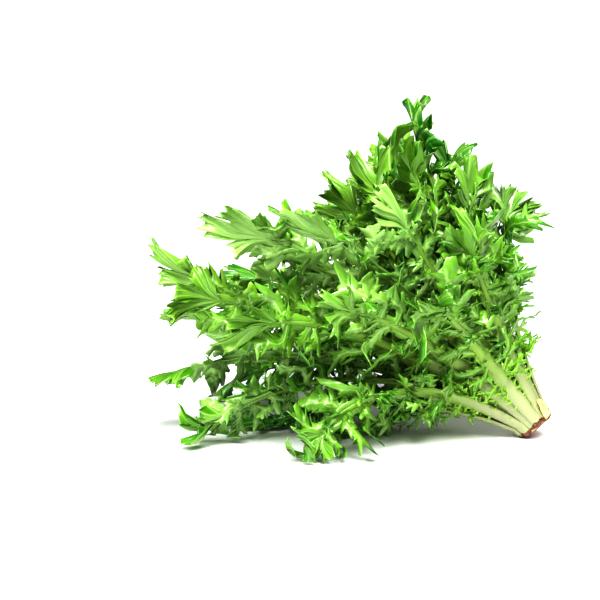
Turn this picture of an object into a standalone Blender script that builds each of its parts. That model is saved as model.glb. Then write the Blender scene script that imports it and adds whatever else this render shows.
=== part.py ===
"""A curly endive head, cut at the root and lying on its butt and its lowest leaves.

Metres, +Z up. The origin is the middle of the small flat under the butt. The head's axis leans
back along -X. The leaves spring from the butt in a spiral, each turned by the golden angle from
the last. Leaf 0 is the innermost. A leaf is a rib with lobes down both its sides and a fan at its
tip. The lowest leaves lie on the surface.
"""

import math
from types import SimpleNamespace

import bmesh
import bpy
import numpy as np
from mathutils.bvhtree import BVHTree

MM = 0.001
SEED = 6456

# The head: how it lies, how many leaves it has, how far they reach by age from heart to rim, and how
# they arch over, in degrees, more below the head and less above it
LEAN = math.radians(45.0)
LEAF_COUNT = 54
LENGTH_AGES = [0.0, 0.15, 0.4, 0.7, 1.0]
LENGTHS = np.array([140.0, 240.0, 318.0, 288.0, 212.0]) * MM
UPPER_SHORTENING = 0.16
SIDE_SHORTENING = 0.13
LOWER_SAG = 1.1
ARCH = 68.0
ARCH_UPWARD = -25.0
UPPER_TUCK = 0.12
GOLDEN_TURN = math.radians(137.508)
FIRST_TURN = math.radians(-24.0)
SPREAD_AT_BUTT = math.radians(25.0)
SPREAD_IN_FULL = math.radians(40.0)
SPREAD_POWER = 0.62
OUTER_FROM = 30
MIDDLE_FROM = 12

# How leaves differ: the ranges from which each one's measures are drawn, with angles in degrees
LENGTH_RANGE = (0.93, 1.07)
LOBE_LENGTH_RANGE = (0.78, 1.16)
LOBE_SWEEP_RANGE = (-9.0, 9.0)
LOBE_CURL_RANGE = (-50.0, 28.0)
LOBE_START_RANGE = (0.17, 0.22)
ARCH_RANGE = (-34.0, 34.0)
SAG = 0.3
SAG_RANGE = (-0.1, 0.1)
SWAY_RANGE = (-13.0, 13.0)
TWIST_RANGE = (-32.0, 32.0)
FOLD = 3.0
FOLD_RANGE = (-14.0, 10.0)
TRIAL_TURN_RANGE = (-0.06, 0.06)

# The butt: the stub of stem, with the cut at its foot
CUT_RADIUS = 16.0 * MM
BUTT_RADIUS = 19.0 * MM
BUTT_LENGTH = 12.0 * MM
BUTT_SIDES = 24
FLAT_DEPTH = 2.4 * MM
SEAT_GAP = 0.35 * MM
SEAT_INSET = 0.4

# A leaf's rib: half its width and its depth at the foot of an outer leaf, and how flat it is squeezed
RIB_HALF_WIDTH = 8.4 * MM
RIB_THICKNESS = 3.0 * MM
STALK_CROWDING = 0.26
STALK_FLATNESS = 0.075

# A leaf's blade: its reach, the sweep of its lobes and the depth of its cuts, by share of the rib
BLADE_HALF_THICKNESS = 0.36 * MM
REACH_AT = [0.12, 0.3, 0.5, 0.7, 0.86, 1.0]
REACH = np.array([3.0, 13.0, 25.0, 36.0, 42.0, 34.0]) * MM
SWEEP_AT = [0.15, 0.5, 0.8, 0.93, 1.0]
SWEEP = np.radians([72.0, 60.0, 48.0, 36.0, 22.0])
CUT_AT = [0.2, 0.55, 0.9, 1.0]
CUT = [0.08, 0.14, 0.3, 0.45]
TIP_REACH = 24.0 * MM
STALK_COLUMNS = np.array([0.0, 0.05, 0.11])
LOBE_PHASES = np.array([-1.0, -0.36, 0.36])
LOBE_END = 0.985

# Laying the leaves down: how low they may go, how often a leaf is drawn again, and how each drawing
# calms its curls and tucks it in
FLOOR_CLEARANCE = 0.05 * MM
FLOOR_STEP = 0.42 * MM
PATH_STATIONS = np.linspace(0.0, 1.3, 105)
TRIALS = 70
CALMING = 0.96
TUCKING = 0.005

AXIS = np.array([-math.cos(LEAN), 0.0, math.sin(LEAN)])
AXIS_UP = np.array([math.sin(LEAN), 0.0, math.cos(LEAN)])
AXIS_SIDE = np.array([0.0, 1.0, 0.0])
DOWN = np.array([0.0, 0.0, -1.0])
CUT_CENTRE = CUT_RADIUS * AXIS_UP - np.array([0.0, 0.0, FLAT_DEPTH])
SEAT_CENTRE = CUT_CENTRE + BUTT_LENGTH * AXIS


def smooth(x):
    """0 below 0, 1 above 1, and an even S-curve between."""
    x = np.clip(x, 0.0, 1.0)
    return x * x * (3.0 - 2.0 * x)


def unit(v):
    return v / np.linalg.norm(v, axis=-1, keepdims=True)


def round_the_axis(turn):
    """The directions straight out from the head's axis, at these turns from its underside."""
    return np.sin(turn)[:, None] * AXIS_SIDE - np.cos(turn)[:, None] * AXIS_UP


def above_floor(z, floor, softness):
    """Heights pressed softly up to stay above the floor: the mean of z and its distance from the floor."""
    rise = z - floor
    return floor + 0.5 * (rise + np.sqrt(rise * rise + softness * softness))


def leaf_traits(k, trial=0):
    """The measures of leaf k, which follow from its age: near 0 in the heart, near 1 for the oldest.
    Each trial draws its curls and bends anew, a little calmer, and tucks the leaf further in.
    upward is 1 for a leaf on the head's upper side and -1 for one below it."""
    draw = np.random.default_rng([SEED, k, trial])
    calm = CALMING**trial
    age = (k + 1.5) / (LEAF_COUNT + 1)
    size = 0.3 + 0.7 * smooth(age / 0.55)
    lobes = int(round(6 + 2 * smooth((age - 0.1) / 0.45)))
    turn = FIRST_TURN + (LEAF_COUNT - 1 - k) * GOLDEN_TURN
    upward = -math.cos(turn)
    shorter = UPPER_SHORTENING * math.sqrt(age) * (upward + 0.5) + SIDE_SHORTENING * age * abs(math.sin(turn))
    length = np.interp(age, LENGTH_AGES, LENGTHS) * (1.0 - shorter)
    return SimpleNamespace(
        age=age,
        size=size,
        spread=age**SPREAD_POWER,
        tuck=(1.0 - TUCKING * trial) * (1.0 - UPPER_TUCK * max(upward, 0.0)),
        length=length * draw.uniform(*LENGTH_RANGE),
        lobes=lobes,
        lobe_length=draw.uniform(*LOBE_LENGTH_RANGE, (2, lobes)),
        lobe_sweep=np.radians(draw.uniform(*LOBE_SWEEP_RANGE, (2, lobes))),
        lobe_curl=calm * np.radians(draw.uniform(*LOBE_CURL_RANGE, (2, lobes))),
        arch=math.radians(ARCH + ARCH_UPWARD * upward + calm * draw.uniform(*ARCH_RANGE)) * age**2,
        sag=(SAG + calm * draw.uniform(*SAG_RANGE)) * age + LOWER_SAG * math.sqrt(max(-upward, 0.0)) * age**3,
        sway=math.radians(draw.uniform(*SWAY_RANGE)),
        twist=calm * math.radians(draw.uniform(*TWIST_RANGE)),
        fold=math.radians(FOLD + calm * draw.uniform(*FOLD_RANGE)),
        lobe_start=draw.uniform(*LOBE_START_RANGE),
        turn=turn + trial * math.radians(draw.uniform(*TRIAL_TURN_RANGE)),
        floor=FLOOR_CLEARANCE + (LEAF_COUNT - 1 - k) * FLOOR_STEP,
    )


def at_most(size, limit):
    """The size, eased down so that it stays under the limit."""
    return size / np.sqrt(1.0 + (size / limit) ** 2)


def rib_half_width(leaf, s, bundle_radius):
    """Half the rib's width: it tapers to the tip, and is squeezed where the stalks crowd at the butt."""
    free = RIB_HALF_WIDTH * leaf.size * (1.0 - 0.86 * np.clip(s, 0.0, 1.0) ** 0.55)
    return at_most(free, STALK_CROWDING * (bundle_radius - 2.0 * BLADE_HALF_THICKNESS))


def rib_path(leaf):
    """The rib's line and its frame at PATH_STATIONS: the running sum of a direction that turns away
    from the head's axis, sags and is pressed up by the floor. Rows of point, side and inward normal."""
    s = PATH_STATIONS
    out_angle = leaf.spread * leaf.tuck * (
        SPREAD_AT_BUTT + (SPREAD_IN_FULL - SPREAD_AT_BUTT) * smooth(s / 0.5)
    ) + leaf.arch * np.clip(s - 0.35, 0.0, None) ** 1.5
    turn = leaf.turn + leaf.sway * s
    outward = round_the_axis(turn)
    heading = np.cos(out_angle)[:, None] * AXIS + np.sin(out_angle)[:, None] * outward
    heading = unit(heading + (leaf.sag * s**2)[:, None] * DOWN)
    step = leaf.length * (s[1] - s[0])
    foot_radius = (BUTT_RADIUS - RIB_THICKNESS * SEAT_INSET) * leaf.spread
    foot = SEAT_CENTRE + foot_radius * outward[0]
    points = foot + np.vstack([np.zeros(3), np.cumsum(heading[:-1] + heading[1:], axis=0) * step / 2])
    low = leaf.floor + rib_depth(leaf, s) + 0.3 * MM
    points[:, 2] = above_floor(points[:, 2], low, 2.0 * MM + 8.0 * MM * np.clip(s, 0.0, 1.0))
    along = unit(np.gradient(points, axis=0))
    inward = -outward
    inward = unit(inward - np.sum(inward * along, axis=1, keepdims=True) * along)
    side = np.cross(along, inward)
    angle = (leaf.twist * smooth(s))[:, None]
    turned_side = side * np.cos(angle) + inward * np.sin(angle)
    turned_inward = inward * np.cos(angle) - side * np.sin(angle)
    return points, turned_side, turned_inward


def rib_depth(leaf, s):
    """How far the rib stands out of the blade's back: least at the foot, where stalks are pressed flat."""
    free = RIB_THICKNESS * (0.45 + 0.55 * leaf.size) * (1.0 - 0.8 * np.clip(s, 0.0, 1.0) ** 0.8)
    radius = BUTT_RADIUS * leaf.spread + 0.45 * leaf.length * leaf.spread * np.clip(s, 0.0, 1.0)
    return at_most(free, STALK_FLATNESS * radius)


def lobe_bounds(leaf):
    """Where each lobe begins and ends along the rib, as shares of its length."""
    share = np.linspace(0.0, 1.0, leaf.lobes + 1) ** 0.84
    return leaf.lobe_start + (LOBE_END - leaf.lobe_start) * share


def blade_outline(leaf, s, phase, lobe, bundle_radius):
    """The blade's edge on both sides at each station s: its reach from the rib, the sweep of the line
    it lies on, and how far that line folds inward, round the bundle. phase is -1 to 1 across a lobe."""
    cut = np.interp(s, CUT_AT, CUT)
    swell = smooth((1.0 - np.abs(phase)) / 0.6) * (0.92 + 0.14 * phase)
    fullness = cut + (1.0 - cut) * swell
    reach = np.interp(s, REACH_AT, REACH) * leaf.size * fullness * leaf.lobe_length[:, lobe]
    reach = rib_half_width(leaf, s, bundle_radius) + reach * smooth((s - 0.06) / 0.1)
    around = np.arcsin(np.clip(0.5 * reach / bundle_radius, 0.0, 0.5))
    curl = (leaf.fold + leaf.lobe_curl[:, lobe]) * smooth((s - 0.1) / 0.35)
    return reach, np.interp(s, SWEEP_AT, SWEEP) + leaf.lobe_sweep[:, lobe], around + curl


def leaf_columns(leaf):
    """The stations along the rib, three to a lobe, with the lobe that each is in and the phase in it."""
    bounds = lobe_bounds(leaf)
    at = bounds[:-1, None] + np.diff(bounds)[:, None] * (LOBE_PHASES + 1.0) / 2.0
    bare = len(STALK_COLUMNS)
    s = np.concatenate([STALK_COLUMNS, at.ravel()])
    phase = np.concatenate([-np.ones(bare), np.tile(LOBE_PHASES, leaf.lobes)])
    lobe = np.concatenate([np.zeros(bare, int), np.repeat(np.arange(leaf.lobes), len(LOBE_PHASES))])
    return s, phase, lobe


def on_path(rows, leaf_share):
    """Rows of points or vectors of the rib, read at any shares of its length."""
    columns = [np.interp(leaf_share, PATH_STATIONS, rows[:, i]) for i in range(3)]
    return np.stack(columns, axis=-1)


def leaf_points(leaf):
    """The leaf's front and back points: for each column its left edge, its rib and its right edge."""
    s, phase, lobe = leaf_columns(leaf)
    path, side, inward = rib_path(leaf)
    middle = on_path(path, s)
    from_axis = middle - SEAT_CENTRE
    from_axis -= (from_axis @ AXIS)[:, None] * AXIS
    reach, sweep, fold = blade_outline(leaf, s, phase, lobe, np.linalg.norm(from_axis, axis=1))
    hand = np.array([[-1.0], [1.0]])
    across = hand * reach * np.sin(sweep) * np.cos(fold)
    lift = reach * np.sin(sweep) * np.sin(fold)
    share = s + reach * np.cos(sweep) / leaf.length * smooth((s - 0.05) / 0.1)
    edge = (
        on_path(path, share)
        + across[..., None] * on_path(side, share)
        + lift[..., None] * on_path(inward, share)
    )
    edge_normal = (
        np.cos(fold)[..., None] * on_path(inward, share)
        - (hand * np.sin(fold))[..., None] * on_path(side, share)
    )
    low = leaf.floor + BLADE_HALF_THICKNESS * 1.3
    edge[..., 2] = above_floor(edge[..., 2], low, 2.0 * MM)
    rim = BLADE_HALF_THICKNESS * (1.0 + 0.6 * smooth(s / 0.08) * smooth((0.25 - s) / 0.12))[:, None]
    rib_normal = on_path(inward, s)
    front_middle = middle + BLADE_HALF_THICKNESS * rib_normal
    back_middle = middle - rib_depth(leaf, s)[:, None] * rib_normal
    front = np.stack([edge[0] + rim * edge_normal[0], front_middle, edge[1] + rim * edge_normal[1]], axis=1)
    back = np.stack([edge[0] - rim * edge_normal[0], back_middle, edge[1] - rim * edge_normal[1]], axis=1)
    tip_share = 1.0 + TIP_REACH * leaf.size / leaf.length
    tip, tip_normal = on_path(path, tip_share), on_path(inward, tip_share)
    for side_points in (front, back):
        height = (side_points[0] - SEAT_CENTRE) @ AXIS
        side_points[0] += (SEAT_GAP - height)[:, None] * AXIS
        side_points[..., 2] = np.maximum(side_points[..., 2], FLOOR_CLEARANCE)
    return front, back, tip + BLADE_HALF_THICKNESS * tip_normal, tip - BLADE_HALF_THICKNESS * tip_normal


def leaf_faces(columns):
    """The triangles of a closed leaf: both faces split alike, with a rim between them."""
    turn = 3 * columns
    tip, tip_back = 2 * turn, 2 * turn + 1
    faces = []
    for i in range(columns - 1):
        for row in (0, 1):
            a, b = 3 * i + row, 3 * i + row + 1
            c, d = a + 3, b + 3
            pair = [(a, b, d), (a, d, c)] if row else [(a, b, c), (b, d, c)]
            for p, q, r in pair:
                faces += [(p, q, r), (turn + r, turn + q, turn + p)]
        left, right = 3 * i, 3 * i + 2
        faces += [(left, left + 3, turn + left + 3), (left, turn + left + 3, turn + left)]
        faces += [(right, turn + right + 3, right + 3), (right, turn + right, turn + right + 3)]
    last = 3 * (columns - 1)
    for row in (0, 1):
        faces += [(last + row, last + row + 1, tip), (turn + last + row + 1, turn + last + row, tip_back)]
        faces += [(row + 1, row, turn + row), (row + 1, turn + row, turn + row + 1)]
    faces += [(last, tip, tip_back), (last, tip_back, turn + last)]
    faces += [(last + 2, tip_back, tip), (last + 2, turn + last + 2, tip_back)]
    return faces


def closed_leaf(leaf):
    """The leaf's points and triangles."""
    front, back, front_tip, back_tip = leaf_points(leaf)
    points = np.concatenate([front.reshape(-1, 3), back.reshape(-1, 3), [front_tip], [back_tip]])
    return points, leaf_faces(len(front))


def settled_leaves():
    """Every leaf, from the oldest in, each drawn again until it is clear of those already there."""
    placed = {}
    for k in reversed(range(LEAF_COUNT)):
        for trial in range(TRIALS):
            points, faces = closed_leaf(leaf_traits(k, trial))
            low, high = points.min(axis=0), points.max(axis=0)
            tree = BVHTree.FromPolygons(points.tolist(), faces, all_triangles=True)
            near = [p for p in placed.values() if (low < p.high).all() and (high > p.low).all()]
            if not any(tree.overlap(p.tree) for p in near):
                break
        placed[k] = SimpleNamespace(points=points, faces=faces, low=low, high=high, tree=tree, trial=trial)
    return placed


def plain_material(name, colour, roughness):
    material = bpy.data.materials.new(name)
    material.use_nodes = True
    shader = material.node_tree.nodes["Principled BSDF"]
    shader.inputs["Base Color"].default_value = (*colour, 1.0)
    shader.inputs["Roughness"].default_value = roughness
    shader.inputs["Metallic"].default_value = 0.0
    material.diffuse_color = (*colour, 1.0)
    return material


def add_object(name, points, faces, material):
    mesh = bpy.data.meshes.new(name)
    mesh.from_pydata(points.tolist(), [], faces)
    mesh.materials.append(material)
    thing = bpy.data.objects.new(name, mesh)
    bpy.context.scene.collection.objects.link(thing)
    return thing


def leaf_name(k):
    """Outer, middle or heart leaf, numbered from the outside of the head."""
    tier = "outer" if k >= OUTER_FROM else "middle" if k >= MIDDLE_FROM else "heart"
    return f"{tier}_leaf_{LEAF_COUNT - k:02d}"


def build_leaves(materials):
    for k, leaf in settled_leaves().items():
        name = leaf_name(k)
        add_object(name, leaf.points, leaf.faces, materials[name.split("_")[0]])


def build_butt(material):
    """The stub of stem: rings of points round the axis, sliced flat where it rests on the surface."""
    heights = np.array([0.0, 0.16, 0.45, 0.8, 1.0]) * BUTT_LENGTH
    radii = [0.93 * CUT_RADIUS, CUT_RADIUS, 0.93 * BUTT_RADIUS, BUTT_RADIUS, 0.97 * BUTT_RADIUS]
    round_out = round_the_axis(np.arange(BUTT_SIDES) * 2.0 * math.pi / BUTT_SIDES)
    form = bmesh.new()
    rings = []
    for height, radius in zip(heights, radii):
        rings.append([form.verts.new(CUT_CENTRE + height * AXIS + radius * out) for out in round_out])
    form.faces.new(rings[0])
    form.faces.new(reversed(rings[-1]))
    for low, high in zip(rings, rings[1:]):
        for i in range(BUTT_SIDES):
            form.faces.new((low[i], high[i], high[i - 1], low[i - 1]))
    everything = form.verts[:] + form.edges[:] + form.faces[:]
    bmesh.ops.bisect_plane(form, geom=everything, plane_co=(0, 0, 0), plane_no=(0, 0, 1), clear_inner=True)
    bmesh.ops.holes_fill(form, edges=[edge for edge in form.edges if edge.is_boundary])
    bmesh.ops.recalc_face_normals(form, faces=form.faces[:])
    bmesh.ops.triangulate(form, faces=form.faces[:])
    thing = add_object("butt", np.zeros((0, 3)), [], material)
    form.to_mesh(thing.data)
    form.free()
    return thing


def main():
    for thing in list(bpy.data.objects):
        bpy.data.objects.remove(thing)
    materials = {
        "outer": plain_material("outer_leaf_green", (0.16, 0.42, 0.04), 0.45),
        "middle": plain_material("middle_leaf_green", (0.24, 0.52, 0.07), 0.45),
        "heart": plain_material("heart_leaf_yellow", (0.58, 0.70, 0.16), 0.45),
    }
    build_leaves(materials)
    build_butt(plain_material("butt_cream", (0.74, 0.72, 0.42), 0.5))


main()
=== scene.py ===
"""The looks of a curly endive head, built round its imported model.

Metres, +Z up, in the model's own frame: the origin is the middle of the flat under the butt, and the
head's axis leans back along -X. Each leaf repeats the line of its solid, by the same measures. On it
go a rounded stalk, a narrow wing with threads and toothed lobes down both sides, and a fan at the
tip, all closed.
"""

import math
from types import SimpleNamespace

import bpy
import numpy as np
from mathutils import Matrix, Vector


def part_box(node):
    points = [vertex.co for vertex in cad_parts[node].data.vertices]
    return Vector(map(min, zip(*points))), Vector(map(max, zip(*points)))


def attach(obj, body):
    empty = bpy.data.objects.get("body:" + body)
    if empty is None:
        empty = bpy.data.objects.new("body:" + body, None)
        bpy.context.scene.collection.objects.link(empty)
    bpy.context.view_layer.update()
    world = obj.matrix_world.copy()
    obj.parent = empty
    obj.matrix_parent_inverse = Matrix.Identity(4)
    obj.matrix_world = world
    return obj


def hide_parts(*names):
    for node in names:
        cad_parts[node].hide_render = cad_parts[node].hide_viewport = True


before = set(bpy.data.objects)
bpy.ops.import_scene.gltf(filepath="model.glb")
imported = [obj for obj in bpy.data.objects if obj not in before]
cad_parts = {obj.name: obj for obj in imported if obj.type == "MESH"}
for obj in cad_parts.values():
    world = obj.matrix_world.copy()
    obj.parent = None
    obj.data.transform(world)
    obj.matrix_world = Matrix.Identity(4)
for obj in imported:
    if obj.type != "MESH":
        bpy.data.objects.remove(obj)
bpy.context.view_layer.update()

MM = 0.001
SEED = 6456

# The head, as in its source: how it lies and how far its leaves reach, by age from heart to rim
LEAN = math.radians(45.0)
LEAF_COUNT = 54
LENGTH_AGES = [0.0, 0.15, 0.4, 0.7, 1.0]
LENGTHS = np.array([140.0, 240.0, 318.0, 288.0, 212.0]) * MM
UPPER_SHORTENING = 0.16
SIDE_SHORTENING = 0.13
LOWER_SAG = 1.1
ARCH = 68.0
ARCH_UPWARD = -25.0
UPPER_TUCK = 0.12
GOLDEN_TURN = math.radians(137.508)
FIRST_TURN = math.radians(-24.0)
SPREAD_AT_BUTT = math.radians(25.0)
SPREAD_IN_FULL = math.radians(40.0)
SPREAD_POWER = 0.62
LENGTH_RANGE = (0.93, 1.07)
LOBE_LENGTH_RANGE = (0.78, 1.16)
LOBE_SWEEP_RANGE = (-9.0, 9.0)
LOBE_CURL_RANGE = (-50.0, 28.0)
LOBE_START_RANGE = (0.17, 0.22)
ARCH_RANGE = (-34.0, 34.0)
SAG = 0.3
SAG_RANGE = (-0.1, 0.1)
SWAY_RANGE = (-13.0, 13.0)
TWIST_RANGE = (-32.0, 32.0)
FOLD = 3.0
FOLD_RANGE = (-14.0, 10.0)
TRIAL_TURN_RANGE = (-0.06, 0.06)
OUTER_FROM = 30
MIDDLE_FROM = 12
CUT_RADIUS = 16.0 * MM
BUTT_RADIUS = 19.0 * MM
BUTT_LENGTH = 12.0 * MM
FLAT_DEPTH = 2.4 * MM
SEAT_GAP = 0.35 * MM
SEAT_INSET = 0.4
RIB_HALF_WIDTH = 8.4 * MM
RIB_THICKNESS = 3.0 * MM
STALK_CROWDING = 0.26
STALK_FLATNESS = 0.075
BLADE_HALF_THICKNESS = 0.36 * MM
REACH_AT = [0.12, 0.3, 0.5, 0.7, 0.86, 1.0]
REACH = np.array([3.0, 13.0, 25.0, 36.0, 42.0, 34.0]) * MM
SWEEP_AT = [0.15, 0.5, 0.8, 0.93, 1.0]
SWEEP = np.radians([72.0, 60.0, 48.0, 36.0, 22.0])
CUT_AT = [0.2, 0.55, 0.9, 1.0]
CUT = [0.08, 0.14, 0.3, 0.45]
TIP_REACH = 24.0 * MM
STALK_COLUMNS = np.array([0.0, 0.05, 0.11])
LOBE_PHASES = np.array([-1.0, -0.36, 0.36])
LOBE_END = 0.985
FLOOR_CLEARANCE = 0.05 * MM
FLOOR_STEP = 0.42 * MM
PATH_STATIONS = np.linspace(0.0, 1.3, 105)
TRIALS = 70
CALMING = 0.96
TUCKING = 0.005
BOX_TOLERANCE = 0.05 * MM

AXIS = np.array([-math.cos(LEAN), 0.0, math.sin(LEAN)])
AXIS_UP = np.array([math.sin(LEAN), 0.0, math.cos(LEAN)])
AXIS_SIDE = np.array([0.0, 1.0, 0.0])
DOWN = np.array([0.0, 0.0, -1.0])
CUT_CENTRE = CUT_RADIUS * AXIS_UP - np.array([0.0, 0.0, FLAT_DEPTH])
SEAT_CENTRE = CUT_CENTRE + BUTT_LENGTH * AXIS

# The fine leaf's blade: how thick it is, how low it may lie, how finely its teeth are drawn, and the
# range of a wave's start
SHEET_HALF = 0.24 * MM
LOWEST = 0.3 * MM
STEPS_PER_TOOTH = 4
ANY_PHASE = (0.0, 6.28)

# The fan at the tip: its fingers, with their lengths, gaps, curls and teeth
FAN_LOBES = 1
FAN_FINGERS = 4
FAN_TEETH = 4
FAN_END_ANGLE = math.radians(52.0)
FINGER_LENGTH_RANGE = (0.78, 1.12)
FINGER_GAP_RANGE = (0.4, 0.68)
FINGER_CURL_RANGE = (-110.0, 60.0)
FINGER_SWAY_RANGE = (-0.4, 0.4)
FINGER_LIFT_RANGE = (-0.16, 0.16)
FAN_TOOTH_DEPTH = 0.085
FAN_TOOTH_RANGE = (0.1, 1.9)
RUFFLE = 4.6 * MM
FRILL = 1.8 * MM
VEIN_RIDGE = 0.25 * MM

# The lobes down both sides: the solid's own, and the small ones between them
LOBE_TEETH = 5
SPUR_HEIGHT = 4.4 * MM
SPUR_RANGE = (0.2, 1.3)
SPUR_LEAN = 1.2
COMMON_REACH = 28.0 * MM
LOW_LOBE_WIDTH = 0.8 * MM
LOBE_WIDENING = 4.4 * MM
LOBE_WIDTH_RANGE = (0.75, 1.3)
LOW_LOBES_LONGER = 0.8
LOBE_BEND_RANGE = (-20.0, 130.0)
LOBE_CUP_RANGE = (-0.25, 0.35)
LOBE_WAVE_RANGE = (0.5 * MM, 3.2 * MM)
LOBE_SWAY_RANGE = (0.15, 0.75)
LOBE_TILT = math.radians(12.0)
OWN_LOBES = SimpleNamespace(width=1.0, curl=(-100.0, 70.0), twist=60.0, blunt=1.0)
SMALL_LOBES = SimpleNamespace(width=0.62, curl=(-110.0, 110.0), twist=100.0, blunt=0.4)

# The threads and the wing of blade up the stalk, and the stalk itself
THREAD_TEETH = 2
THREAD_REACH = 2.0 * MM
THREAD_LENGTHENING = 15.0 * MM
THREAD_WIDTH_RANGE = (0.4 * MM, 0.7 * MM)
THREAD_ANGLES = {
    "sweep": (50.0, 95.0),
    "bend": (-60.0, 60.0),
    "fold": (-30.0, 60.0),
    "curl": (-70.0, 90.0),
    "twist": (-60.0, 60.0),
}
WING_AT = [0.05, 0.25, 0.55, 0.85]
WING = np.array([0.2, 1.4, 2.6, 4.5]) * MM
WING_SPUR_RANGE = (0.3 * MM, 2.2 * MM)
STALK_WIDENING = 1.4
STALK_END = 0.95
GROOVE = 0.75
FOOT_RINGS = 6

# The butt: its core, its ragged cut, and the flap that is left of a torn leaf
CORE_RADIUS = 14.6 * MM
BUTT_SIDES = 96
BUTT_RINGS = 12
CUT_SINK = 1.1 * MM
CUT_ROUGHNESS = 0.25 * MM
RIM_RAGGEDNESS = 1.1 * MM
FLAP_TURN = math.pi + 0.6
FLAP_HALF_ANGLE = 0.24
FLAP_START = 0.6 * MM
FLAP_LENGTH = 17.0 * MM
FLAP_RADIUS = 17.4 * MM
FLAP_FLARE = 4.2 * MM
FLAP_HALF = 0.35 * MM

# The studio: a sun, a sky and soft lights that look at the middle of the head
SUN_FROM = (0.3, -0.62, 1.0)
SUN_WIDTH = math.radians(35.0)
SUN_POWER = 4.3
SKY_POWER = 0.22
HEAD_MIDDLE = (-0.12, 0.0, 0.12)
FLOOR_HALF = 6.0

# How finely each tier of leaves is drawn
DETAIL = {
    "outer": SimpleNamespace(fan_cut=4, fan_across=12, rib=64, round=16, threads=18, wing=14),
    "middle": SimpleNamespace(fan_cut=4, fan_across=10, rib=44, round=12, threads=16, wing=14),
    "heart": SimpleNamespace(fan_cut=3, fan_across=8, rib=32, round=10, threads=8, wing=10),
}


def smooth(x):
    """0 below 0, 1 above 1, and an even S-curve between."""
    x = np.clip(x, 0.0, 1.0)
    return x * x * (3.0 - 2.0 * x)


def unit(v):
    """Vectors brought to a length of 1."""
    return v / np.linalg.norm(v, axis=-1, keepdims=True)


def round_the_axis(turn):
    """The directions straight out from the head's axis, at these turns from its underside."""
    return np.sin(turn)[..., None] * AXIS_SIDE - np.cos(turn)[..., None] * AXIS_UP


def above_floor(z, floor, softness):
    """Heights pressed softly up to stay above the floor: the mean of the rise and its softened size."""
    rise = z - floor
    return floor + 0.5 * (rise + np.sqrt(rise * rise + softness * softness))


def leaf_traits(k, trial=0):
    """The measures of leaf k, which follow from its age: near 0 in the heart, near 1 for the oldest.
    Each trial draws its curls and bends anew, a little calmer, and tucks the leaf further in.
    upward is 1 for a leaf on the head's upper side and -1 for one below it."""
    draw = np.random.default_rng([SEED, k, trial])
    calm = CALMING**trial
    age = (k + 1.5) / (LEAF_COUNT + 1)
    size = 0.3 + 0.7 * smooth(age / 0.55)
    lobes = int(round(6 + 2 * smooth((age - 0.1) / 0.45)))
    turn = FIRST_TURN + (LEAF_COUNT - 1 - k) * GOLDEN_TURN
    upward = -math.cos(turn)
    shorter_above = UPPER_SHORTENING * math.sqrt(age) * (upward + 0.5)
    shorter_aside = SIDE_SHORTENING * age * abs(math.sin(turn))
    length = np.interp(age, LENGTH_AGES, LENGTHS) * (1.0 - (shorter_above + shorter_aside))
    sag_below = LOWER_SAG * math.sqrt(max(-upward, 0.0)) * age**3
    return SimpleNamespace(
        size=size,
        spread=age**SPREAD_POWER,
        tuck=(1.0 - TUCKING * trial) * (1.0 - UPPER_TUCK * max(upward, 0.0)),
        length=length * draw.uniform(*LENGTH_RANGE),
        lobes=lobes,
        lobe_length=draw.uniform(*LOBE_LENGTH_RANGE, (2, lobes)),
        lobe_sweep=np.radians(draw.uniform(*LOBE_SWEEP_RANGE, (2, lobes))),
        lobe_curl=calm * np.radians(draw.uniform(*LOBE_CURL_RANGE, (2, lobes))),
        arch=math.radians(ARCH + ARCH_UPWARD * upward + calm * draw.uniform(*ARCH_RANGE)) * age**2,
        sag=(SAG + calm * draw.uniform(*SAG_RANGE)) * age + sag_below,
        sway=math.radians(draw.uniform(*SWAY_RANGE)),
        twist=calm * math.radians(draw.uniform(*TWIST_RANGE)),
        fold=math.radians(FOLD + calm * draw.uniform(*FOLD_RANGE)),
        lobe_start=draw.uniform(*LOBE_START_RANGE),
        turn=turn + trial * math.radians(draw.uniform(*TRIAL_TURN_RANGE)),
        floor=FLOOR_CLEARANCE + (LEAF_COUNT - 1 - k) * FLOOR_STEP,
    )


def at_most(size, limit):
    """The size, eased down so that it stays under the limit."""
    return size / np.sqrt(1.0 + (size / limit) ** 2)


def rib_half_width(leaf, s, bundle_radius):
    """Half the rib's width: it tapers to the tip, and is squeezed where the stalks crowd at the butt."""
    free = RIB_HALF_WIDTH * leaf.size * (1.0 - 0.86 * np.clip(s, 0.0, 1.0) ** 0.55)
    return at_most(free, STALK_CROWDING * (bundle_radius - 2.0 * BLADE_HALF_THICKNESS))


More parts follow.
